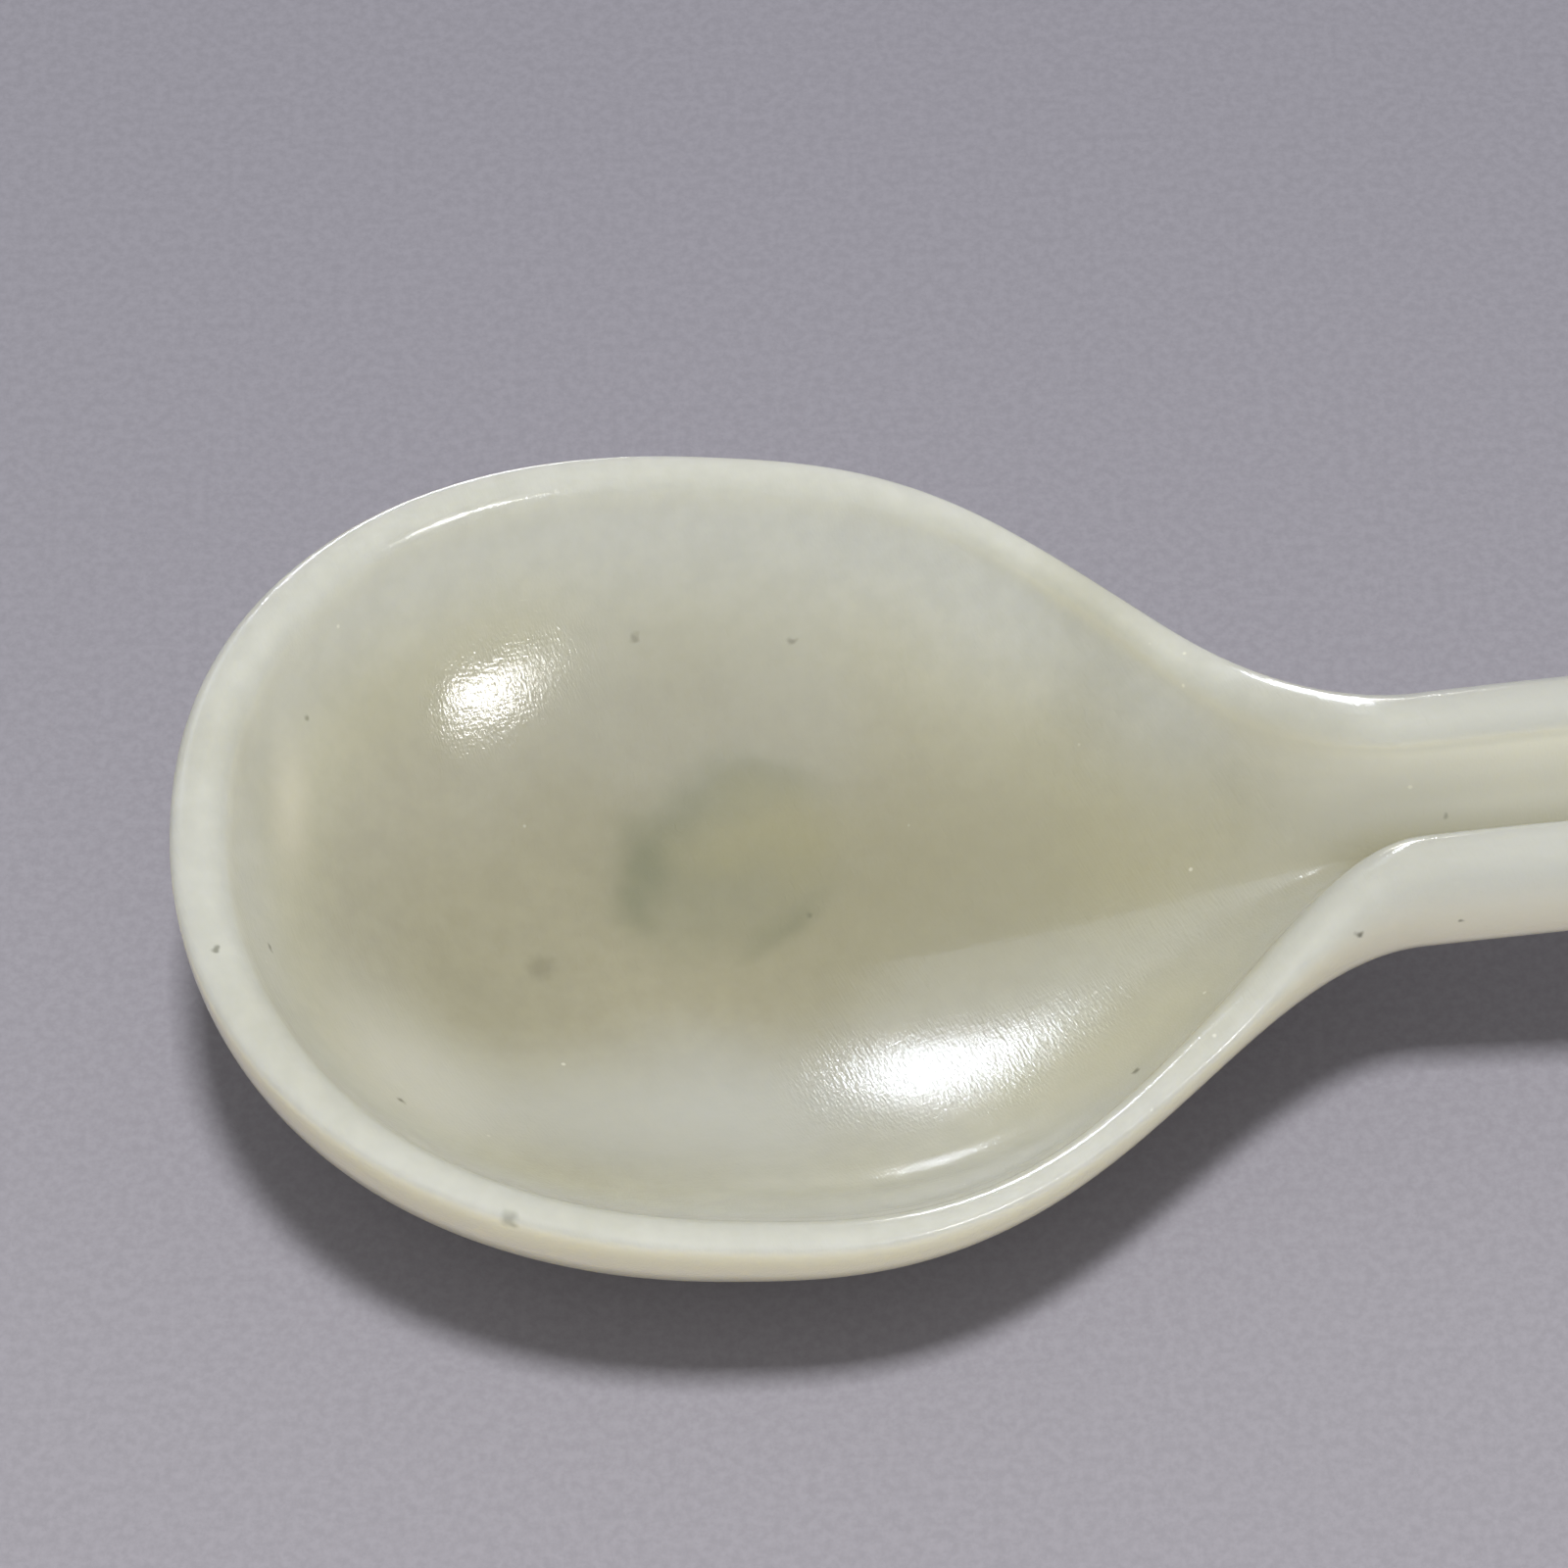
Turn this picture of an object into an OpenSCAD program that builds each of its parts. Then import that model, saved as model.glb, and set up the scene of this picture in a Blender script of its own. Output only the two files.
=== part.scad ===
// A carved and polished stone spoon: a deep egg-shaped bowl with a softly rounded lip,
// whose hollow runs on through a tapered neck into the channel of an arched handle.
// Millimetres. The spoon lies as on a table: its small ground foot and the underside
// of the handle's end touch the table at z = 0. The origin is the middle of the foot.
// X runs along the handle, Y across it, and the spoon is symmetric about y = 0.

/* [Bowl] */
// Length of the bowl, from its tip to the narrowest part of the neck
bowl_l = 66; // [60:1:74]
// Full width of the bowl across its outline
bowl_w = 51.6; // [42:0.2:58]
// Distance from the tip to the widest part of the bowl
widest_x = 28.5; // [24:0.5:33]
// Bluntness of the front outline: 2 is an ellipse, and more is blunter
front_power = 2.15; // [2:0.01:2.6]
// How long the outline stays wide before it tapers to the neck
taper_power = 1.42; // [1.1:0.01:1.6]
// Height of the outline above the table at the tip
tip_h = 17.8; // [14:0.2:21]
// Fall of the rim from the tip toward the neck, for each millimetre of length
rim_fall = 0.11; // [0.04:0.005:0.15]
// Thickness of the stone under the deepest part of the hollow
floor_t = 2.4; // [1.6:0.1:3.6]

/* [Lip] */
// Width of the lip along the sides of the bowl, with its rounding into the hollow
lip_w = 2.8; // [2.4:0.1:3.4]
// Width of the lip at the bowl's tip
tip_lip_w = 3.4; // [2.6:0.1:4.4]
// Height of the lip's top above the outline
lip_h = 0.9; // [0.5:0.1:1.6]
// Radius of the lip's rounding into the hollow
edge_r = 2; // [1:0.1:2.2]

/* [Foot] */
// Distance from the tip to the middle of the foot
foot_x = 26; // [23:0.5:29]
// Length of the level stretch of the underside at the foot
foot_level_l = 8; // [4:0.5:10]
// Depth of stone ground away to make the foot flat
foot_cut = 0.3; // [0.15:0.05:0.6]

/* [Handle] */
// Overall length of the spoon
total_l = 160; // [148:1:180]
// Width of the handle at the neck
neck_w = 14.4; // [12:0.2:18]
// Width of the handle at its end
end_w = 15.6; // [13:0.2:20]
// Steepest climb of the handle, just behind the bowl, for each millimetre of length
climb = 0.16; // [0.06:0.01:0.3]
// Height that the handle gains from the neck to the top of its arch
arch_h = 4.8; // [2:0.2:9]
// Distance from the neck to the top of the arch
arch_x = 34; // [26:1:44]
// Width of the rounded shoulder from the handle's side to the channel's ridge, at the neck
shoulder_w = 2.8; // [1.8:0.1:3.4]
// Height of the ridge above the handle's widest line, at the neck
shoulder_h = 4; // [2.6:0.1:5]
// Radius of the ridge's rounding into the channel
channel_edge_r = 1.7; // [1:0.1:2.2]
// Depth of the underside below the handle's widest line, at the neck
under_h = 5; // [3.6:0.1:6.4]
// Thickness of the stone under the channel, at the neck
channel_floor_t = 2.6; // [1.8:0.1:3.6]
// Width of the shoulder at the handle's end
end_shoulder_w = 2.2; // [1.4:0.1:2.8]
// Height of the ridge above the widest line, at the handle's end
end_shoulder_h = 1.9; // [1.2:0.1:3]
// Depth of the underside below the widest line, at the handle's end
end_under_h = 2.7; // [2:0.1:4]
// Thickness of the stone under the channel where it runs out at the handle's end
end_floor_t = 3.2; // [2:0.1:3.4]

/* [Hidden] */

// Facets round the front of the bowl, along its taper, along the handle and round its end
front_n = 20;
taper_n = 20;
handle_n = 28;
end_n = 8;
station_n = front_n + taper_n + handle_n + end_n;
// Facets of half a section: underside, outer half of the lip, its inner edge, and hollow
under_n = 12;
outer_n = 4;
inner_n = 4;
hollow_n = 11;
level_n = under_n + outer_n + inner_n + hollow_n;
ring_n = 2 * level_n;

// Powers of the section's curves, where 2 is an ellipse, in the bowl and in the handle
under_side_power = 2.1;
under_drop_power = 1.9;
lip_power = 3;
shoulder_power = 2.3;
hollow_side_power = 2.2;
channel_side_power = 1.4;
hollow_drop_power = 1.1;
channel_drop_power = 1.05;
// How far the inner rounding turns down into the hollow, in degrees
edge_turn = 60;

// Distances before the neck where the rim turns upward, where it climbs most steeply,
// where the lip starts to broaden, and where it starts and ends its rise into the shoulder
bend_l = 21;
climb_l = 10.5;
broader_from_l = 24;
shoulder_from_l = 12;
shoulder_to_l = 0.5;
// Length over which the wide lip at the tip narrows
tip_lip_l = 12;
// Distances from the end where the underside rests, and where the sections begin to fan
end_rest_l = 6.2;
end_fan_l = 20;
// Depth of stone ground away where the underside of the handle's end rests
end_cut = 0.12;

// Places along the spoon, measured from the tip
focus_x = foot_x - foot_level_l / 2;
deep_x = foot_x + foot_level_l / 2;
bend_x = bowl_l - bend_l;
climb_x = bowl_l - climb_l;
crown_x = bowl_l + arch_x;
end_r = end_w / 2;
end_rest_x = total_l - end_rest_l;
end_fan_x = total_l - end_fan_l;

// Size of the block that grinds the foot flat
grind_w = 2 * total_l;

function mix(a, b, t) = a + (b - a) * t;
function smooth(t) = (1 - cos(180 * min(1, max(0, t)))) / 2;
function along(x, from, to) = (x - from) / (to - from);

// A cubic from the point x0, z0 with slope m0 to the point x1, z1 with slope m1
function cubic(x0, z0, m0, x1, z1, m1, x) =
    let (h = x1 - x0, t = (x - x0) / h)
    z0 * (1 + 2 * t) * pow(1 - t, 2) + m0 * h * t * pow(1 - t, 2)
    + z1 * t * t * (3 - 2 * t) - m1 * h * t * t * (1 - t);

// How far a place along the spoon has changed from bowl to handle, and from neck to end
function handleness(x) = smooth(along(x, bowl_l - shoulder_from_l, bowl_l - shoulder_to_l));
function endness(x) = smooth(along(x, bowl_l, end_rest_x));

// Half the width of the outline
function bowl_front(x) =
    bowl_w / 2 * pow(1 - pow((widest_x - x) / widest_x, front_power), 1 / front_power);
function bowl_taper(x) =
    mix(bowl_w / 2, neck_w / 2, smooth(pow(along(x, widest_x, bowl_l), taper_power)));
function handle_side(x) =
    mix(neck_w / 2, end_r, smooth(along(x, bowl_l, total_l - end_r)))
    * sqrt(max(0, 1 - pow(max(0, (x - total_l + end_r) / end_r), 2)));
function half_width(x) =
    x < widest_x ? bowl_front(x) : x < bowl_l ? bowl_taper(x) : handle_side(x);

// Height of the outline, which is the section's widest line
bend_z = tip_h - rim_fall * bend_x;
climb_z = bend_z + (climb - rim_fall) / 2 * (climb_x - bend_x);
crown_z = climb_z + arch_h;
end_z = end_under_h - end_cut;
function outline_z(x) =
    x < bend_x ? tip_h - rim_fall * x
    : x < climb_x ? cubic(bend_x, bend_z, -rim_fall, climb_x, climb_z, climb, x)
    : x < crown_x ? cubic(climb_x, climb_z, climb, crown_x, crown_z, 0, x)
    : x < end_rest_x ? cubic(crown_x, crown_z, 0, end_rest_x, end_z, 0, x)
    : end_z;

// Sizes of the section where the outline is at x
function ridge_h(x) = mix(lip_h, mix(shoulder_h, end_shoulder_h, endness(x)), handleness(x));
function broadness(x) = smooth(along(x, bowl_l - broader_from_l, bowl_l - shoulder_to_l));
function ridge_w(x) =
    mix(mix(tip_lip_w, lip_w, smooth(x / tip_lip_l)) - edge_r,
        mix(shoulder_w, end_shoulder_w, endness(x)), broadness(x));
function ridge_z(x) = outline_z(x) + ridge_h(x);

// Heights of the underside and of the hollow along the middle line
function middle(x) = smooth(along(x, deep_x, bowl_l));
function keel_z(x) =
    mix(-foot_cut, outline_z(x) - mix(under_h, end_under_h, endness(x)), middle(x));
function hollow_z(x) =
    keel_z(x) + mix(foot_cut + floor_t, mix(channel_floor_t, end_floor_t, endness(x)), middle(x));

// The middle point that the section at outline point x runs to. The sections fan out
// round the bowl's tip and round the handle's end, and stand square in between.
function middle_x(x) =
    x < bowl_l ? x + focus_x * pow(1 - x / bowl_l, 2)
    : x > end_fan_x ? x - end_rest_l * pow(along(x, end_fan_x, total_l), 2)
    : x;

// Half a section as points of distance from the middle and height, from the keel
// under the spoon, out to the outline, over the lip and down to the hollow's bottom
function half_section(x, reach) =
    let (
        m = middle_x(x),
        t = handleness(x),
        side_z = outline_z(x),
        top_z = ridge_z(x),
        rise = ridge_h(x),
        keel = keel_z(m),
        deep = hollow_z(m),
        ridge = ridge_w(x),
        ridge_power = mix(lip_power, shoulder_power, t),
        side_power = mix(hollow_side_power, channel_side_power, t),
        drop_power = mix(hollow_drop_power, channel_drop_power, t),
        edge = mix(edge_r, channel_edge_r, t),
        wall = reach - ridge - edge * sin(edge_turn),
        wall_z = top_z - edge * (1 - cos(edge_turn))
    )
    [
        for (k = [0 : under_n])
            let (a = 90 * k / under_n)
            [reach * pow(sin(a), 2 / under_side_power),
             side_z - (side_z - keel) * pow(cos(a), 2 / under_drop_power)],
        for (k = [1 : outer_n])
            let (a = 90 * k / outer_n)
            [reach - ridge * (1 - pow(cos(a), 2 / ridge_power)),
             side_z + rise * pow(sin(a), 2 / ridge_power)],
        for (k = [1 : inner_n])
            let (a = edge_turn * k / inner_n)
            [reach - ridge - edge * sin(a), top_z - edge * (1 - cos(a))],
        for (k = [1 : hollow_n])
            let (r = 1 - k / hollow_n)
            [wall * r,
             deep + (wall_z - deep) * (1 - pow(1 - pow(r, side_power), 1 / drop_power))]
    ];

// Places of the sections along the outline
stations = [
    for (i = [0 : front_n - 1]) widest_x * (1 - cos(90 * i / front_n)),
    for (i = [0 : taper_n - 1]) mix(widest_x, bowl_l, i / taper_n),
    for (i = [0 : handle_n - 1]) mix(bowl_l, total_l - end_r, i / handle_n),
    for (i = [0 : end_n]) total_l - end_r + end_r * sin(90 * i / end_n)
];

// The points of one side's half section in space, where side is 1 or -1
function space_section(x, side) =
    let (
        y = half_width(x),
        m = middle_x(x),
        reach = norm([x - m, y])
    )
    [
        for (p = half_section(x, reach))
            [m - foot_x + (x - m) / reach * p[0], side * y / reach * p[0], p[1]]
    ];

// The first and last sections lie in the plane of symmetry and are half rings. Each
// other ring runs up one side and down the other, and shares its two middle points.
function ring(i) =
    let (
        left = space_section(stations[i], 1),
        right = space_section(stations[i], -1)
    )
    i == 0 || i == station_n ? left
    : concat(left, [for (k = [level_n - 1 : -1 : 1]) right[k]]);

// The place in the list of points of ring i's point k, counted round the ring
function index(i, k) =
    let (c = k % ring_n)
    i == 0 ? min(c, ring_n - c)
    : i == station_n ? level_n + 1 + (station_n - 1) * ring_n + min(c, ring_n - c)
    : level_n + 1 + (i - 1) * ring_n + c;

module stone_shell() {
    points = [for (i = [0 : station_n]) each ring(i)];
    faces = [
        for (i = [0 : station_n - 1])
            for (k = [0 : ring_n - 1])
                each [
                    [index(i, k), index(i + 1, k), index(i + 1, k + 1)],
                    [index(i, k), index(i + 1, k + 1), index(i, k + 1)]
                ]
    ];
    polyhedron(points = points, faces = faces, convexity = 6);
}

module spoon() {
    color("#c9ccb8")
    difference() {
        stone_shell();
        translate([-grind_w / 2, -grind_w / 2, -grind_w])
            cube(grind_w);
    }
}

spoon();
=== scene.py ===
import math

import bpy
import numpy as np
from mathutils import Matrix, Vector


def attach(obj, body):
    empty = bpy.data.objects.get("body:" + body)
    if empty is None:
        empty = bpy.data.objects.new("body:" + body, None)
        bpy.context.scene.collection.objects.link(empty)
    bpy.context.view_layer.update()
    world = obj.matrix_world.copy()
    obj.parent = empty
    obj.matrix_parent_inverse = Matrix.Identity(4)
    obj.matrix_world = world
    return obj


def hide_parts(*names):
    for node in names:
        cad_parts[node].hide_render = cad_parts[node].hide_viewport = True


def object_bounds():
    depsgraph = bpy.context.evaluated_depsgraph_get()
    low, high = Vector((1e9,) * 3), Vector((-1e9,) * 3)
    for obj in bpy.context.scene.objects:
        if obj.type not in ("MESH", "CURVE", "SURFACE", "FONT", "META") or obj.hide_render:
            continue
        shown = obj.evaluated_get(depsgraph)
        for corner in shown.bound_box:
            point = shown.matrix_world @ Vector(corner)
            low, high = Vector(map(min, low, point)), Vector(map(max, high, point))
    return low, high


# The looks of a carved jade spoon. The CAD solid fixes its size and place. This script draws
# the same form with a finer mesh, from the same named sizes, and adds the marks of carving
# and polishing, the stone, a plain floor, the lights and the camera. Blender works in metres.
# The sizes below are in millimetres, with X measured from the bowl's tip.

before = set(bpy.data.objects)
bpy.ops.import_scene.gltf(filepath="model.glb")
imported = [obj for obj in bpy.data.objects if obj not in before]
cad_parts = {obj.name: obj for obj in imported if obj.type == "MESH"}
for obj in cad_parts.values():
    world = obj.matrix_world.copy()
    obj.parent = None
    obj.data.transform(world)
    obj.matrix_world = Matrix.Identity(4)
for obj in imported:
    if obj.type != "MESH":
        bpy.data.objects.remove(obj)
cad_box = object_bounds()
MM = 0.001

# Bowl
BOWL_L = 66.0
BOWL_W = 51.6
WIDEST_X = 28.5
FRONT_POWER = 2.15
TAPER_POWER = 1.42
TIP_H = 17.8
RIM_FALL = 0.11
FLOOR_T = 2.4

# Lip
LIP_W = 2.8
TIP_LIP_W = 3.4
TIP_LIP_L = 12.0
LIP_H = 0.9
EDGE_R = 2.0

# Foot
FOOT_X = 26.0
FOOT_LEVEL_L = 8.0
FOOT_CUT = 0.3
FOCUS_X = FOOT_X - FOOT_LEVEL_L / 2
DEEP_X = FOOT_X + FOOT_LEVEL_L / 2

# Handle
TOTAL_L = 160.0
NECK_W = 14.4
END_R = 7.8
CLIMB = 0.16
ARCH_H = 4.8
BEND_X = BOWL_L - 21.0
CLIMB_X = BOWL_L - 10.5
CROWN_X = BOWL_L + 34.0
BROADER_FROM_X = BOWL_L - 24.0
SHOULDER_FROM_X = BOWL_L - 12.0
SHOULDER_TO_X = BOWL_L - 0.5
SHOULDER_W, END_SHOULDER_W = 2.8, 2.2
SHOULDER_H, END_SHOULDER_H = 4.0, 1.9
CHANNEL_EDGE_R = 1.7
UNDER_H, END_UNDER_H = 5.0, 2.7
CHANNEL_FLOOR_T, END_FLOOR_T = 2.6, 3.2
END_REST_L = 6.2
END_REST_X = TOTAL_L - END_REST_L
END_FAN_X = TOTAL_L - 20.0
END_CUT = 0.12

# How far the inner edge's rounding turns down, in degrees
EDGE_TURN = 60.0

# Powers of the section's curves
UNDER_SIDE_POWER, UNDER_DROP_POWER = 2.1, 1.9
LIP_POWER, SHOULDER_POWER = 3.0, 2.3
HOLLOW_SIDE_POWER, CHANNEL_SIDE_POWER = 2.2, 1.4
HOLLOW_DROP_POWER, CHANNEL_DROP_POWER = 1.1, 1.05

# Steps of the mesh: round the front, along the taper, along the handle and round its end,
# and in half a section along the underside, the lip's outside, its edge and the hollow
FRONT_N, TAPER_N, HANDLE_N, END_N = 64, 84, 88, 20
UNDER_N, OUTER_N, INNER_N, HOLLOW_N = 40, 12, 8, 56
LEVEL_N = UNDER_N + OUTER_N + INNER_N + HOLLOW_N
RING_N = 2 * LEVEL_N
STATION_N = FRONT_N + TAPER_N + HANDLE_N + END_N

# How deep hand polishing has left the surface uneven, and how far apart its hollows are
HAND_DEPTH = 0.10
HAND_LENGTH = 21.0
# Furrows left by the last strokes along the inside of the lip, deepest about one place
FURROW_DEPTH, DEEP_FURROW_DEPTH = 0.015, 0.19
FURROW_COUNT = 2.0
FURROWS_FROM, FURROWS_TO = 0.03, 0.33
DEEP_FURROW_X, DEEP_FURROW_Y, DEEP_FURROW_R = 11.5, -18.5, 14.0


def mix(a, b, t):
    return a + (b - a) * t


def smooth(t):
    return (1 - np.cos(np.pi * np.clip(t, 0, 1))) / 2


def along(x, start, end):
    return (x - start) / (end - start)


def cubic(x0, z0, m0, x1, z1, m1, x):
    """A cubic from the point x0, z0 with slope m0 to the point x1, z1 with slope m1."""
    h = x1 - x0
    t = (x - x0) / h
    rise = z0 * (1 + 2 * t) * (1 - t) ** 2 + z1 * t**2 * (3 - 2 * t)
    return rise + h * t * (1 - t) * (m0 * (1 - t) - m1 * t)


def handleness(x):
    return smooth(along(x, SHOULDER_FROM_X, SHOULDER_TO_X))


def endness(x):
    return smooth(along(x, BOWL_L, END_REST_X))


def half_width(x):
    front = np.clip(1 - x / WIDEST_X, 0, 1)
    bowl = BOWL_W / 2 * (1 - front**FRONT_POWER) ** (1 / FRONT_POWER)
    taper_t = np.clip(along(x, WIDEST_X, BOWL_L), 0, 1)
    taper = mix(BOWL_W / 2, NECK_W / 2, smooth(taper_t**TAPER_POWER))
    round_t = np.clip((x - TOTAL_L + END_R) / END_R, 0, 1)
    side = mix(NECK_W / 2, END_R, smooth(along(x, BOWL_L, TOTAL_L - END_R)))
    handle = side * np.sqrt(1 - round_t**2)
    return np.where(x < WIDEST_X, bowl, np.where(x < BOWL_L, taper, handle))


BEND_Z = TIP_H - RIM_FALL * BEND_X
CLIMB_Z = BEND_Z + (CLIMB - RIM_FALL) / 2 * (CLIMB_X - BEND_X)
CROWN_Z = CLIMB_Z + ARCH_H
END_Z = END_UNDER_H - END_CUT


def outline_z(x):
    return np.select(
        [x < BEND_X, x < CLIMB_X, x < CROWN_X, x < END_REST_X],
        [
            TIP_H - RIM_FALL * x,
            cubic(BEND_X, BEND_Z, -RIM_FALL, CLIMB_X, CLIMB_Z, CLIMB, x),
            cubic(CLIMB_X, CLIMB_Z, CLIMB, CROWN_X, CROWN_Z, 0, x),
            cubic(CROWN_X, CROWN_Z, 0, END_REST_X, END_Z, 0, x),
        ],
        END_Z,
    )


def ridge_h(x):
    return mix(LIP_H, mix(SHOULDER_H, END_SHOULDER_H, endness(x)), handleness(x))


def ridge_w(x):
    lip = mix(TIP_LIP_W, LIP_W, smooth(x / TIP_LIP_L)) - EDGE_R
    broader = smooth(along(x, BROADER_FROM_X, SHOULDER_TO_X))
    return mix(lip, mix(SHOULDER_W, END_SHOULDER_W, endness(x)), broader)


def middle(x):
    return smooth(along(x, DEEP_X, BOWL_L))


def keel_z(x):
    return mix(-FOOT_CUT, outline_z(x) - mix(UNDER_H, END_UNDER_H, endness(x)), middle(x))


def hollow_z(x):
    channel_t = mix(CHANNEL_FLOOR_T, END_FLOOR_T, endness(x))
    return keel_z(x) + mix(FOOT_CUT + FLOOR_T, channel_t, middle(x))


def middle_x(x):
    """The middle point that the section at outline point x runs to."""
    bowl = x + FOCUS_X * (1 - x / BOWL_L) ** 2
    end = x - END_REST_L * np.clip(along(x, END_FAN_X, TOTAL_L), 0, 1) ** 2
    return np.where(x < BOWL_L, bowl, end)


def half_sections(x, reach):
    """Half sections as distances from the middle and heights, one row for each x."""
    m, t = middle_x(x), handleness(x)
    side_z, rise, ridge = outline_z(x), ridge_h(x), ridge_w(x)
    keel, deep = keel_z(m), hollow_z(m)
    ridge_power = mix(LIP_POWER, SHOULDER_POWER, t)
    side_power = mix(HOLLOW_SIDE_POWER, CHANNEL_SIDE_POWER, t)
    drop_power = mix(HOLLOW_DROP_POWER, CHANNEL_DROP_POWER, t)
    edge = mix(EDGE_R, CHANNEL_EDGE_R, t)
    turn = np.radians(EDGE_TURN)
    wall = reach - ridge - edge * np.sin(turn)
    top_z = side_z + rise
    wall_z = top_z - edge * (1 - np.cos(turn))

    under = np.radians(90 * np.arange(UNDER_N + 1) / UNDER_N)
    outer = np.radians(90 * np.arange(1, OUTER_N + 1) / OUTER_N)
    inner = turn * np.arange(1, INNER_N + 1) / INNER_N
    r = 1 - np.arange(1, HOLLOW_N + 1) / HOLLOW_N
    out = [
        reach * np.sin(under) ** (2 / UNDER_SIDE_POWER),
        reach - ridge * (1 - np.clip(np.cos(outer), 0, 1) ** (2 / ridge_power)),
        reach - ridge - edge * np.sin(inner),
        wall * r,
    ]
    up = [
        side_z - (side_z - keel) * np.clip(np.cos(under), 0, 1) ** (2 / UNDER_DROP_POWER),
        side_z + rise * np.sin(outer) ** (2 / ridge_power),
        top_z - edge * (1 - np.cos(inner)),
        deep + (wall_z - deep) * (1 - (1 - r**side_power) ** (1 / drop_power)),
    ]
    return np.concatenate(out, axis=1), np.concatenate(up, axis=1)


def carved_rings():
    """The spoon's closed rings of points in millimetres, from the middle of the foot, and
    how deep in the hollow each point lies. Ring i's two halves mirror each other."""
    front = WIDEST_X * (1 - np.cos(np.radians(90 * np.arange(FRONT_N) / FRONT_N)))
    taper = mix(WIDEST_X, BOWL_L, np.arange(TAPER_N) / TAPER_N)
    handle = mix(BOWL_L, TOTAL_L - END_R, np.arange(HANDLE_N) / HANDLE_N)
    end = TOTAL_L - END_R + END_R * np.sin(np.radians(90 * np.arange(END_N + 1) / END_N))
    x = np.concatenate([front, taper, handle, end])[:, None]

    y, m = half_width(x), middle_x(x)
    reach = np.hypot(x - m, y)
    out, up = half_sections(x, reach)
    left = np.stack([m - FOOT_X + (x - m) / reach * out, y / reach * out, up], axis=2)
    right = left[:, LEVEL_N - 1 : 0 : -1] * (1, -1, 1)
    depth = np.zeros_like(up)
    inside = UNDER_N + OUTER_N + INNER_N
    depth[:, inside:] = up[:, inside : inside + 1] - up[:, inside:]
    rings = np.concatenate([left, right], axis=1)
    return rings, np.concatenate([depth, depth[:, LEVEL_N - 1 : 0 : -1]], axis=1)


def outward(rings):
    """The unit normals of the rings' points, out of the stone."""
    down_the_spoon = np.gradient(rings, axis=0)
    round_the_ring = np.roll(rings, -1, axis=1) - np.roll(rings, 1, axis=1)
    normal = np.cross(round_the_ring, down_the_spoon)
    normal[[0, -1], :, 1] = 0
    for end, beside in ((0, 1), (-1, -2)):
        normal[end, [0, LEVEL_N]] = normal[beside, [0, LEVEL_N]]
    return normal / np.linalg.norm(normal, axis=2, keepdims=True)


def polish_marks(rings):
    """How far hand polishing has worn each point inward, in millimetres."""
    rng = np.random.default_rng(11)
    wear = np.zeros(rings.shape[:2])
    waves = 7
    for _ in range(waves):
        direction = rng.normal(size=3)
        direction *= 2 * np.pi / (HAND_LENGTH * rng.uniform(0.6, 1.6)) / np.linalg.norm(direction)
        wear += np.sin(rings @ direction + rng.uniform(0, 2 * np.pi)) / waves
    wear = HAND_DEPTH * (wear + 1) / 2

    level = np.minimum(np.arange(RING_N), RING_N - np.arange(RING_N))
    below_edge = along(level, UNDER_N + OUTER_N + INNER_N, LEVEL_N)
    across = along(below_edge, FURROWS_FROM, FURROWS_TO)
    near_edge = smooth(6 * across) * smooth(6 * (1 - across))
    furrows = np.sin(2 * np.pi * FURROW_COUNT * np.clip(across, 0, 1)) * near_edge
    away = np.hypot(rings[:, :, 0] - DEEP_FURROW_X, rings[:, :, 1] - DEEP_FURROW_Y)
    cut = mix(DEEP_FURROW_DEPTH, FURROW_DEPTH, smooth(away / DEEP_FURROW_R))
    return wear + cut * (furrows + near_edge) / 2


def ring_index(i, k):
    """Where ring i's point k stands in the mesh. The first and last rings are half rings."""
    c = k % RING_N
    if i == 0:
        return min(c, RING_N - c)
    if i == STATION_N:
        return LEVEL_N + 1 + (STATION_N - 1) * RING_N + min(c, RING_N - c)
    return LEVEL_N + 1 + (i - 1) * RING_N + c


def carve_spoon():
    """The spoon's fine mesh, ground flat at the table and kept inside the CAD solid's box."""
    rings, depth = carved_rings()
    rings = rings - outward(rings) * polish_marks(rings)[:, :, None]
    points = np.concatenate(
        [rings[0, : LEVEL_N + 1], rings[1:-1].reshape(-1, 3), rings[-1, : LEVEL_N + 1]]
    )
    depths = np.concatenate([depth[0, : LEVEL_N + 1], depth[1:-1].ravel(), depth[-1, : LEVEL_N + 1]])
    points = np.clip(points * MM, cad_box[0], cad_box[1])
    faces = [
        (ring_index(i, k), ring_index(i, k + 1), ring_index(i + 1, k + 1), ring_index(i + 1, k))
        for i in range(STATION_N)
        for k in range(RING_N)
    ]
    mesh = bpy.data.meshes.new("carved_spoon")
    mesh.from_pydata(points.tolist(), [], faces)
    mesh.shade_smooth()
    attribute = mesh.attributes.new("depth", "FLOAT", "POINT")
    attribute.data.foreach_set("value", depths.astype(np.float32))
    spoon = bpy.data.objects.new("carved_spoon", mesh)
    bpy.context.collection.objects.link(spoon)
    return spoon


def srgb(red, green, blue):
    """A linear colour from 8-bit sRGB values."""
    linear = [
        c / 12.92 if c <= 0.04045 else ((c + 0.055) / 1.055) ** 2.4
        for c in (red / 255, green / 255, blue / 255)
    ]
    return (*linear, 1.0)


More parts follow.
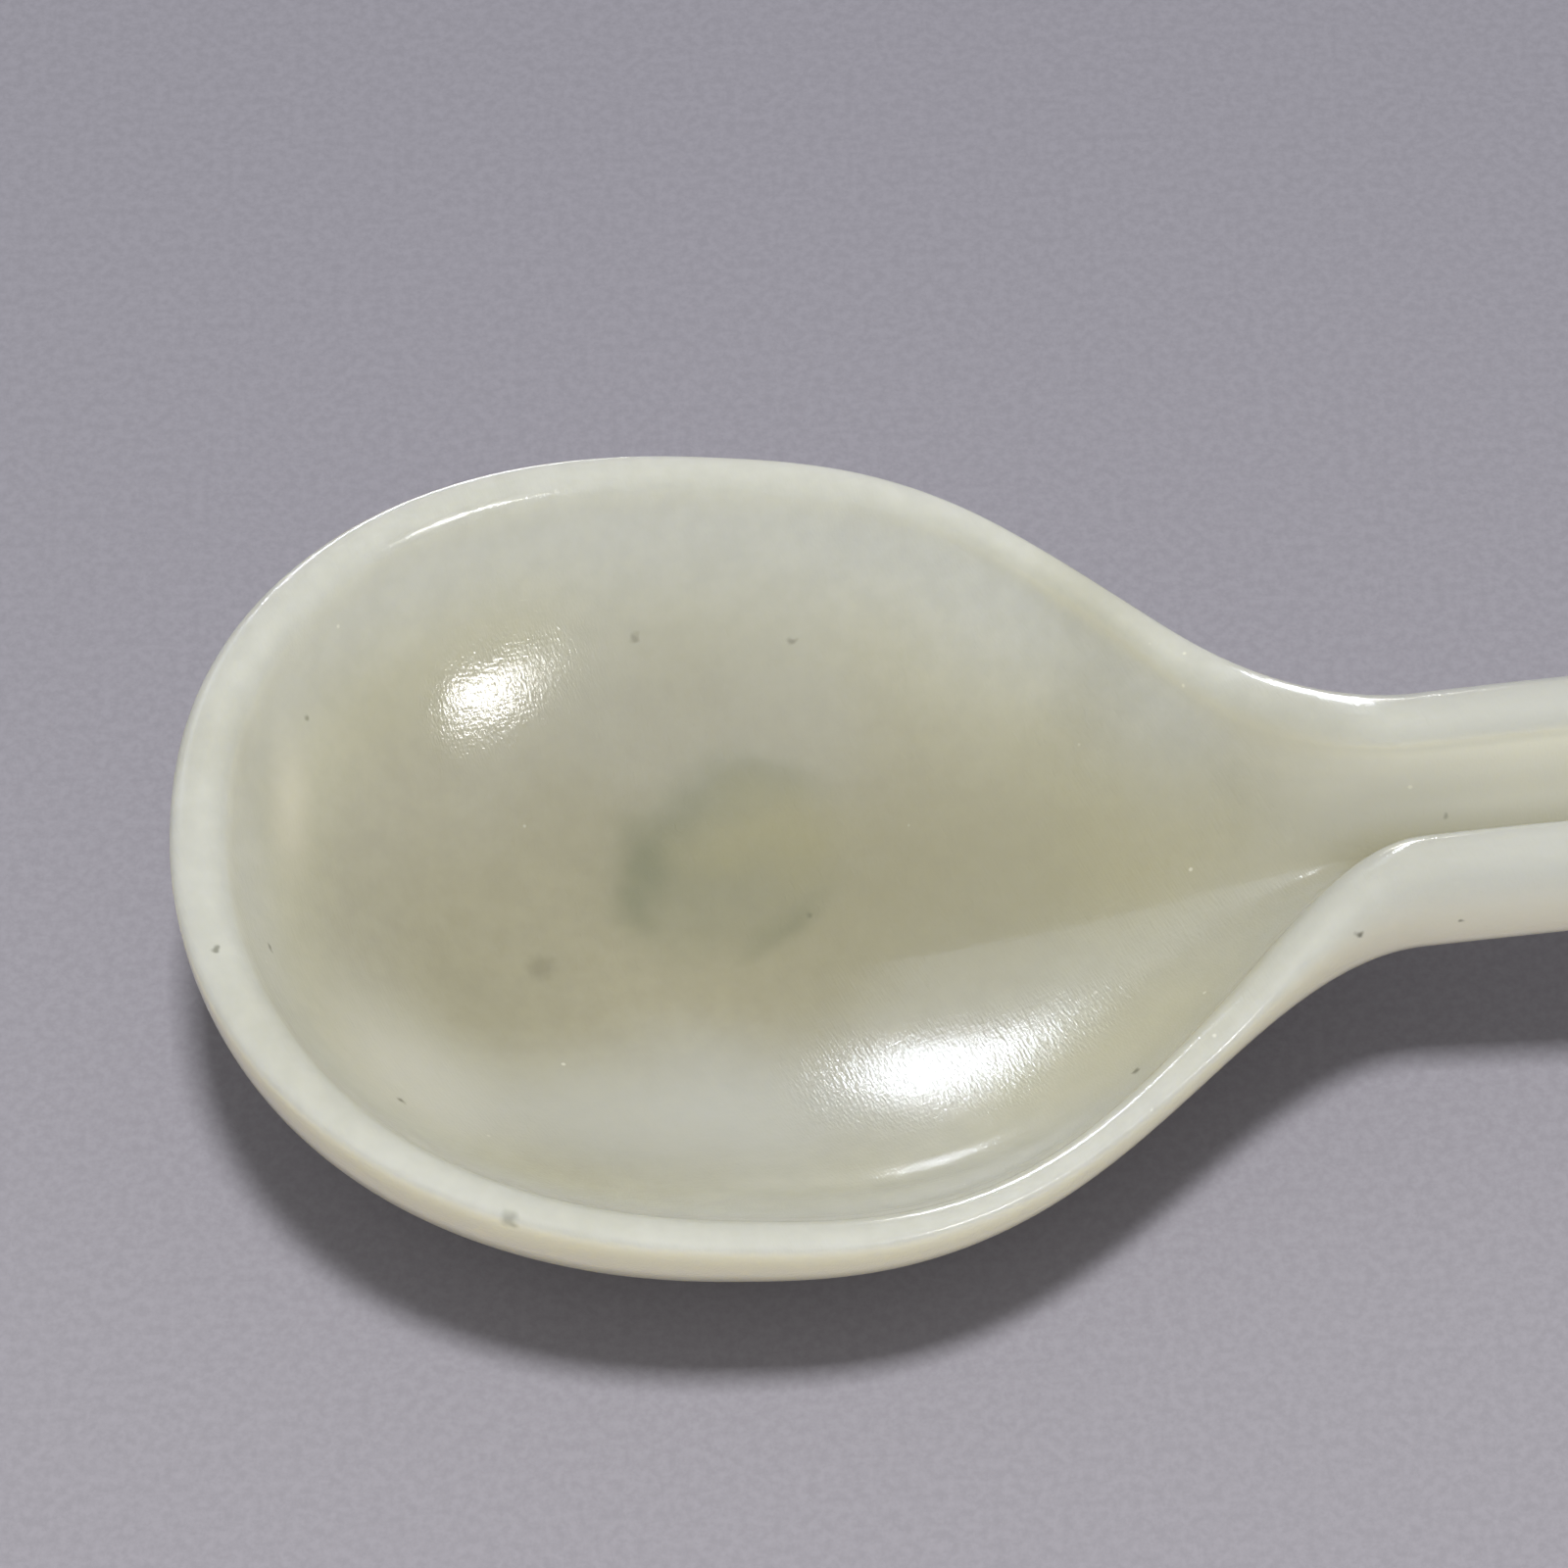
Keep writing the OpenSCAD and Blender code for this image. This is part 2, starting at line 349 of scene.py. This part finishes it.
class Graph:
    """A node material. Each call adds one node and returns the output named last."""

    def __init__(self, name):
        self.material = bpy.data.materials.new(name)
        self.material.use_nodes = True
        self.tree = self.material.node_tree
        self.tree.nodes.clear()

    def add(self, kind, inputs=None, output=0, **settings):
        node = self.tree.nodes.new("ShaderNode" + kind)
        for key, value in settings.items():
            setattr(node, key, value)
        for key, value in (inputs or {}).items():
            if isinstance(value, bpy.types.NodeSocket):
                self.tree.links.new(value, node.inputs[key])
            else:
                node.inputs[key].default_value = value
        return node.outputs[output] if node.outputs else node

    def math(self, operation, *values):
        return self.add("Math", dict(enumerate(values)), operation=operation)

    def blend(self, factor, a, b, mode="MIX"):
        sockets = {0: factor, 6: a, 7: b}
        return self.add("Mix", sockets, output=2, data_type="RGBA", blend_type=mode)

    def fade(self, value, start, end, low=0.0, high=1.0):
        """Goes smoothly from low to high as value goes from start to end."""
        sockets = {"Value": value, "From Min": start, "From Max": end, "To Min": low, "To Max": high}
        return self.add("MapRange", sockets, interpolation_type="SMOOTHSTEP")

    def noise(self, place, size, detail=3.0, roughness=0.5, output="Fac"):
        """A noise whose features are about size millimetres wide."""
        sockets = {"Vector": place, "Scale": 1 / (size * MM), "Detail": detail, "Roughness": roughness}
        return self.add("TexNoise", sockets, output=output)

    def spot(self, place, centre, radius, core=0.3, stretch=(1, 1, 1), turn=0.0):
        """1 at centre, 0 from radius on, in millimetres. It is full out to core times radius,
        and stretch makes it longer along axes that are turned by turn degrees about Z."""
        away = self.add("VectorMath", {0: place, 1: Vector(centre) * MM}, operation="SUBTRACT")
        if turn:
            sockets = {"Vector": away, "Angle": -math.radians(turn)}
            away = self.add("VectorRotate", sockets, rotation_type="Z_AXIS")
        if stretch != (1, 1, 1):
            away = self.add("VectorMath", {0: away, 1: stretch}, operation="DIVIDE")
        far = self.add("VectorMath", {0: away}, output="Value", operation="LENGTH")
        return self.fade(far, radius * MM, radius * core * MM)

    def tint(self, colour, place, spots, core):
        """Blends in a colour at each spot, as strongly as the spot's strength says."""
        for centre, radius, stretch, turn, strength, tint in spots:
            spot = self.spot(place, centre, radius, core, stretch, turn)
            colour = self.blend(self.math("MULTIPLY", spot, strength), colour, tint)
        return colour

    def shaken(self, place, size, reach, detail):
        """The place, moved by up to about half of reach millimetres by a noise of that size."""
        drift = self.noise(place, size, detail=detail, output="Color")
        drift = self.add("VectorMath", {0: drift, 1: (0.5, 0.5, 0.5)}, operation="SUBTRACT")
        drift = self.add("VectorMath", {0: drift, "Scale": reach * MM}, operation="SCALE")
        return self.add("VectorMath", {0: place, 1: drift})

    def shade(self, colour, value, start, end, low, high):
        """Makes the colour darker or lighter, from low to high times as light."""
        grey = self.fade(value, start, end, low, high)
        grey = self.add("CombineColor", {0: grey, 1: grey, 2: grey})
        return self.blend(1.0, colour, grey, "MULTIPLY")


# Colours from the lip down into the hollow: the stone's colour at the lip, then darker with depth as
# painted shade
LIP_COLOUR = srgb(191, 193, 187)
PAINTED_SHADE_WALL_COLOUR = srgb(187, 186, 168)
PAINTED_SHADE_HOLLOW_COLOUR = srgb(174, 172, 156)
PAINTED_SHADE_DEEP_COLOUR = srgb(164, 161, 140)
# Colours of the clouds in it, of its spots and of the handle, and of painted light and shade
CLOUD_AND_SHEEN_COLOUR = srgb(190, 192, 188)
OLIVE_COLOUR = srgb(152, 149, 124)
YELLOW_COLOUR = srgb(172, 166, 126)
DARK_COLOUR = srgb(112, 118, 96)
SHADE_COLOUR = srgb(152, 150, 132)
PAINTED_HIGHLIGHT_COLOUR = srgb(232, 228, 214)
CREAM_COLOUR = srgb(186, 182, 150)
RIDGE_COLOUR = srgb(186, 188, 184)
PAINTED_LIGHT_PALE_COLOUR = srgb(211, 211, 201)
PAINTED_BOUNCE_LIGHT_COLOUR = srgb(230, 226, 206)
SPECK_COLOUR = srgb(92, 92, 74)
FLECK_COLOUR = srgb(232, 232, 220)

# Each spot, of the stone or of painted light and shade, has a place from the foot, a radius,
# a stretch along X, Y and Z, a turn in degrees, a strength and a colour. Places and radii are in
# millimetres.
EVEN = (1.0, 1.0, 1.0)

# Painted highlight: a warm pale streak down the wall behind the tip
PAINTED_HIGHLIGHT_STREAK = [((-20.0, 4.4, 13.0), 1.9, (0.9, 3.4, 3.0), 0, 0.3, PAINTED_HIGHLIGHT_COLOUR)]
# Painted shade: a greyer far side of the bowl
PAINTED_SHADE_FAR_SIDE = [((2.0, 11.0, 7.0), 16.0, (1.3, 0.8, 1.0), 0, 0.5, SHADE_COLOUR)]
# Painted light: paler stone below the tip and a pale bluish sheen low on the near side.
# A cream tint toward the neck. Painted shade: olive and yellow where the bowl runs into the handle
BROAD_TINTS_PAINTED_LIGHT_AND_SHADE = [
    ((-14.0, -11.0, 9.0), 9.0, (1.0, 1.2, 1.0), 0, 0.6, PAINTED_LIGHT_PALE_COLOUR),
    ((-1.0, -11.5, 5.0), 12.0, (1.5, 0.8, 1.0), 0, 0.6, CLOUD_AND_SHEEN_COLOUR),
    ((25.0, -9.5, 9.5), 11.0, (1.3, 0.6, 1.0), 30, 0.5, CREAM_COLOUR),
    ((18.0, 3.0, 6.0), 16.0, (1.4, 0.9, 1.0), 0, 0.7, OLIVE_COLOUR),
    ((33.0, 3.0, 10.0), 12.0, (1.5, 0.7, 1.0), 0, 0.35, YELLOW_COLOUR),
]
# A dark patch in the bottom of the bowl, yellow in its middle, with
# its darkest blot on the left, an arc along the top and a streak toward the right
PATCH = [
    ((3.0, 6.4, 3.2), 9.0, (1.1, 0.8, 1.0), 20, 0.3, DARK_COLOUR),
    ((-0.6, 7.0, 3.4), 4.0, (0.7, 1.5, 1.0), -24, 0.42, DARK_COLOUR),
    ((-1.6, 3.9, 2.8), 2.0, (1.3, 1.0, 1.0), 0, 0.22, DARK_COLOUR),
    ((3.4, 10.4, 4.5), 3.0, (2.4, 0.8, 1.0), 4, 0.24, DARK_COLOUR),
    ((5.4, 8.0, 3.7), 5.0, (1.4, 0.8, 1.0), 0, 0.3, YELLOW_COLOUR),
    ((6.0, 3.0, 2.7), 2.2, (0.6, 2.2, 1.0), -50, 0.26, DARK_COLOUR),
]
# Dark specks, each with its place, radius and strength
SPECKS = [
    ((-1.5, 17.8, 9.4), 0.38, 0.35),
    ((7.2, 17.6, 8.8), 0.38, 0.4),
    ((-7.0, 0.6, 2.7), 1.1, 0.25),
    ((7.7, 3.4, 2.9), 0.36, 0.35),
    ((-19.1, 9.5, 14.2), 0.34, 0.5),
    ((-20.8, -5.7, 14.7), 0.34, 0.6),
    ((-23.3, -8.4, 18.6), 0.32, 0.6),
    ((-14.0, -13.3, 11.3), 0.4, 0.7),
    ((-8.2, -24.2, 16.4), 0.7, 0.4),
    ((24.4, -12.5, 10.8), 0.36, 0.7),
    ((36.3, -7.8, 16.0), 0.34, 0.8),
    ((41.6, -7.2, 16.0), 0.28, 0.6),
    ((41.6, 1.0, 13.9), 0.28, 0.4),
]

# Bright flecks: the size of the cells, the share that stays empty and a fleck's edges
FLECK_CELL = 1.9
FLECK_EMPTY = 0.86
FLECK_OUTER_R, FLECK_INNER_R = 0.09, 0.03

# Hair scratches: each set's turn in degrees, width and strength, how far a hair is drawn
# out, and how deep the scratches and the uneven polish between them are
HAIRS = [(-66, 0.13, 1.0), (14, 0.16, 0.5)]
HAIR_STRETCH = (11.0, 1.0, 1.6)
UNEVEN_SIZE, UNEVEN_STRENGTH = 0.6, 0.5
SCRATCH_DEPTH = 0.012

# How the stone bends light and how far light of each colour spreads in it
STONE_IOR = 1.61
SCATTER_WEIGHT = 0.9
SCATTER_RADIUS = (1.0, 0.95, 0.72)
SCATTER_L = 4.0


def painted_shade_by_depth(g, depth):
    """Painted shade: the stone's colour darkens with how deep in the hollow it lies."""
    colour = g.blend(g.fade(depth, 0.5, 6.0), LIP_COLOUR, PAINTED_SHADE_WALL_COLOUR)
    colour = g.blend(g.fade(depth, 4.0, 9.5), colour, PAINTED_SHADE_HOLLOW_COLOUR)
    return g.blend(g.fade(depth, 8.0, 13.5), colour, PAINTED_SHADE_DEEP_COLOUR)


def cloud_colours(g, colour, place, clouds):
    """Adds soft clouds and a finer mottling that runs through the stone."""
    colour = g.blend(g.fade(clouds, 0.45, 0.75, 0.0, 0.45), colour, CLOUD_AND_SHEEN_COLOUR)
    colour = g.blend(g.fade(clouds, 0.5, 0.25, 0.0, 0.3), colour, OLIVE_COLOUR)
    mottle = g.noise(place, 1.6, detail=2.0, roughness=0.6)
    return g.shade(colour, mottle, 0.25, 0.75, 0.965, 1.03)


def handle_colours_and_painted_light(g, colour, place, depth):
    """Adds the handle's paler ridges, painted light on the channel walls, the yellow along the
    channel's bottom and painted bounce light on surfaces that face sideways and down."""
    along_it = g.add("SeparateXYZ", {0: place}, output="X")
    in_handle = g.fade(along_it, 30 * MM, 46 * MM)
    colour = g.blend(in_handle, colour, RIDGE_COLOUR)
    # Paler channel walls: painted light
    painted_light_on_wall = g.math("MULTIPLY", g.fade(depth, 0.0, 0.8), g.fade(depth, 6.4, 3.4))
    colour = g.blend(g.math("MULTIPLY", in_handle, painted_light_on_wall), colour, PAINTED_LIGHT_PALE_COLOUR)
    at_bottom = g.math("MULTIPLY", g.fade(along_it, 20 * MM, 34 * MM), g.fade(depth, 3.5, 6.6))
    colour = g.blend(g.math("MULTIPLY", at_bottom, 0.75), colour, YELLOW_COLOUR)

    # Surfaces that face sideways and down made paler: painted bounce light
    normal = g.add("NewGeometry", output="Normal")
    facing_up = g.add("SeparateXYZ", {0: normal}, output="Z")
    in_bowl = g.math("SUBTRACT", 1.0, in_handle)
    outside = g.math("MAXIMUM", g.fade(depth, 0.6, 0.0), in_bowl)
    under = g.math("MULTIPLY", outside, g.fade(facing_up, 0.75, -0.3, 0.0, 0.9))
    return g.blend(under, colour, PAINTED_BOUNCE_LIGHT_COLOUR)


def fleck_colours(g, colour, place):
    """Adds bright flecks, one in each of a few cells."""
    cells = {"Vector": place, "Scale": 1 / (FLECK_CELL * MM)}
    near = g.add("TexVoronoi", cells, output="Distance")
    pick = g.add("SeparateColor", {0: near.node.outputs["Color"]})
    full = g.math("GREATER_THAN", pick, FLECK_EMPTY)
    fleck = g.math("MULTIPLY", g.fade(near, FLECK_OUTER_R, FLECK_INNER_R), full)
    return g.blend(g.math("MULTIPLY", fleck, 0.55), colour, FLECK_COLOUR)


def scratched(g, place):
    """The normals of hair scratches, each set a noise drawn out along one direction."""
    height = g.math("MULTIPLY", g.noise(place, UNEVEN_SIZE, detail=1.0), UNEVEN_STRENGTH)
    for turn, width, strength in HAIRS:
        drawn = {"Rotation": (0.0, 0.0, math.radians(turn)), "Scale": HAIR_STRETCH}
        stretched = g.add("Mapping", {"Vector": place, **drawn}, vector_type="TEXTURE")
        hairs = g.math("MULTIPLY", g.noise(stretched, width, detail=1.0), strength)
        height = g.math("ADD", height, hairs)
    sockets = {"Strength": 1.0, "Distance": SCRATCH_DEPTH * MM, "Height": height}
    return g.add("Bump", sockets, output="Normal")


def jade():
    """Pale translucent stone: cloudy, with a dark patch in the bowl, specks, hair scratches, and painted
    shade and light.
    """
    g = Graph("jade")
    place = g.add("TexCoord", output="Object")
    depth = g.add("Attribute", output="Fac", attribute_name="depth")
    clouds = g.noise(place, 16, detail=1.0)

    # The hollow darkens with depth: painted shade
    colour = painted_shade_by_depth(g, depth)
    colour = cloud_colours(g, colour, place, clouds)
    # A warm streak on the wall behind the tip: painted highlight
    colour = g.tint(colour, place, PAINTED_HIGHLIGHT_STREAK, core=0.0)
    # The far side greyed: painted shade
    colour = g.tint(colour, place, PAINTED_SHADE_FAR_SIDE, core=0.2)
    # Painted light near the tip and on the near side, cream toward the neck, painted shade toward the
    # handle
    colour = g.tint(colour, place, BROAD_TINTS_PAINTED_LIGHT_AND_SHADE, core=0.1)
    colour = handle_colours_and_painted_light(g, colour, place, depth)
    colour = g.tint(colour, g.shaken(place, 5, 4.5, detail=2.0), PATCH, core=0.05)
    specks = [(centre, radius, EVEN, 0, strength, SPECK_COLOUR) for centre, radius, strength in SPECKS]
    colour = g.tint(colour, g.shaken(place, 0.5, 0.5, detail=0.0), specks, core=0.2)
    colour = fleck_colours(g, colour, place)

    sockets = {
        "Base Color": colour,
        "Roughness": g.fade(clouds, 0.3, 0.7, 0.11, 0.155),
        "Normal": scratched(g, place),
        "IOR": STONE_IOR,
        "Subsurface Weight": SCATTER_WEIGHT,
        "Subsurface Radius": SCATTER_RADIUS,
        "Subsurface Scale": SCATTER_L * MM,
    }
    g.add("OutputMaterial", {"Surface": g.add("BsdfPrincipled", sockets, output="BSDF")})
    return g.material


FLOOR_COLOUR = srgb(166, 164, 174)
FLOOR_FAR_PAINTED_SHADE_COLOUR = srgb(152, 151, 163)
FLOOR_HALF = 4.0


def make_floor():
    """A plain pale matt sheet under the spoon, with a fine paper grain, darker toward the back as
    painted shade.
    """
    g = Graph("matt_paper")
    place = g.add("TexCoord", output="Object")
    across = g.add("SeparateXYZ", {0: place}, output="Y")
    # Darker toward the back: painted shade where the light falls off
    colour = g.blend(g.fade(across, -0.05, 0.07), FLOOR_COLOUR, FLOOR_FAR_PAINTED_SHADE_COLOUR)
    grain = g.noise(place, 0.6, detail=3.0, roughness=0.7)
    colour = g.shade(colour, grain, 0.3, 0.7, 0.94, 1.06)
    bump = g.add("Bump", {"Strength": 0.4, "Distance": 0.06 * MM, "Height": grain}, output="Normal")
    sockets = {"Base Color": colour, "Roughness": 0.95, "Specular IOR Level": 0.1, "Normal": bump}
    g.add("OutputMaterial", {"Surface": g.add("BsdfPrincipled", sockets, output="BSDF")})

    mesh = bpy.data.meshes.new("floor")
    corners = [(-1, -1, 0), (1, -1, 0), (1, 1, 0), (-1, 1, 0)]
    mesh.from_pydata([Vector(c) * FLOOR_HALF for c in corners], [], [(0, 1, 2, 3)])
    mesh.materials.append(g.material)
    floor = bpy.data.objects.new("floor", mesh)
    bpy.context.collection.objects.link(floor)


def toward(azimuth, elevation):
    """The direction to something seen at that azimuth and elevation. Azimuth 0 is in front,
    where the camera stands, and 90 is to the right, along the handle."""
    a, e = math.radians(azimuth), math.radians(elevation)
    return Vector((math.sin(a) * math.cos(e), -math.cos(a) * math.cos(e), math.sin(e)))


# Where the lamps aim and how far off they stand, in metres: those that light the stone
# softly and those that only shine in its polish
LIGHT_AIM = Vector((5, 2, 10)) * MM
SOFT_FAR, SHINE_FAR = 0.8, 0.7
SOFT_COLOUR = (1.0, 0.985, 0.96)
WORLD_COLOUR = (1.0, 0.98, 0.93, 1.0)
WORLD_STRENGTH = 0.34


def make_light(name, azimuth, elevation, distance, size, watts, colour, turn=0.0):
    """A rectangular lamp of size = (width, height) in metres that faces the spoon."""
    data = bpy.data.lights.new(name, "AREA")
    data.shape, (data.size, data.size_y) = "RECTANGLE", size
    data.energy, data.color = watts, colour
    lamp = bpy.data.objects.new(name, data)
    bpy.context.collection.objects.link(lamp)
    back = toward(azimuth, elevation)
    lamp.location = LIGHT_AIM + back * distance
    turned = Matrix.Rotation(math.radians(turn), 3, "Z").to_quaternion()
    lamp.rotation_euler = (back.to_track_quat("Z", "Y") @ turned).to_euler()
    return lamp


def light_studio(spoon):
    """Soft lamps light the stone from above, in front and behind, and small ones only show in
    its polish. The front and back lamps leave the floor alone, so the shadow stays plain."""
    overhead = make_light("overhead", 0, 82, SOFT_FAR, (0.1, 0.1), 4.5, SOFT_COLOUR)
    overhead.visible_glossy = False
    front = make_light("front", 5, 24, SOFT_FAR, (0.3, 0.3), 1.7, SOFT_COLOUR)
    back = make_light("back", 150, 35, SOFT_FAR, (0.3, 0.3), 1.5, SOFT_COLOUR)
    spoon_only = bpy.data.collections.new("spoon_only")
    spoon_only.objects.link(spoon)
    for lamp in (front, back):
        lamp.visible_glossy = False
        lamp.light_linking.receiver_collection = spoon_only

    behind = make_light("behind", -169.5, 13.5, SHINE_FAR, (0.38, 0.03), 1.05, (0.84, 0.9, 1.0), turn=58)
    window = make_light("window", -151, 35, SHINE_FAR, (0.26, 0.16), 0.13, (0.8, 0.88, 1.0), turn=50)
    right = make_light("right", 54, 38, SHINE_FAR, (0.22, 0.06), 1.1, (1.0, 0.99, 0.97), turn=-35)
    low = make_light("low", -172, 0, SHINE_FAR, (0.2, 0.1), 0.85, (1.0, 0.95, 0.9))
    for lamp in (behind, window, right, low):
        lamp.visible_diffuse = False

    world = bpy.data.worlds.new("studio")
    world.use_nodes = True
    bpy.context.scene.world = world
    background = world.node_tree.nodes["Background"]
    background.inputs["Color"].default_value = WORLD_COLOUR
    background.inputs["Strength"].default_value = WORLD_STRENGTH


# The camera, fitted to the spoon's outline in a picture of PICTURE pixels
PICTURE = 1600
VIEW_AZIMUTH, VIEW_ELEVATION, VIEW_ROLL = -0.26, 54.6, -1.44
VIEW_DISTANCE = 380.0
VIEW_SCALE = 19.09
VIEW_AIM = (6.47, 4.31, 14.0)
SENSOR_W = 36.0


def place_camera():
    """Looks at VIEW_AIM, where a millimetre is VIEW_SCALE pixels wide."""
    back = toward(VIEW_AZIMUTH, VIEW_ELEVATION)
    level = Vector((math.cos(math.radians(VIEW_AZIMUTH)), math.sin(math.radians(VIEW_AZIMUTH)), 0))
    upright = back.cross(level)
    roll = math.radians(VIEW_ROLL)
    right = level * math.cos(roll) + upright * math.sin(roll)
    up = upright * math.cos(roll) - level * math.sin(roll)

    data = bpy.data.cameras.new("camera")
    data.sensor_width = SENSOR_W
    data.lens = VIEW_DISTANCE * VIEW_SCALE / PICTURE * SENSOR_W
    data.clip_start, data.clip_end = 0.01, 20.0
    camera = bpy.data.objects.new("camera", data)
    bpy.context.collection.objects.link(camera)
    turned = Matrix((right, up, back)).transposed().to_4x4()
    camera.matrix_world = Matrix.Translation((Vector(VIEW_AIM) + back * VIEW_DISTANCE) * MM) @ turned
    bpy.context.scene.camera = camera


spoon = carve_spoon()
spoon.data.materials.append(jade())
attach(spoon, "root")
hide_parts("spoon")
make_floor()
light_studio(spoon)
place_camera()
bpy.context.scene.view_settings.view_transform = "Standard"
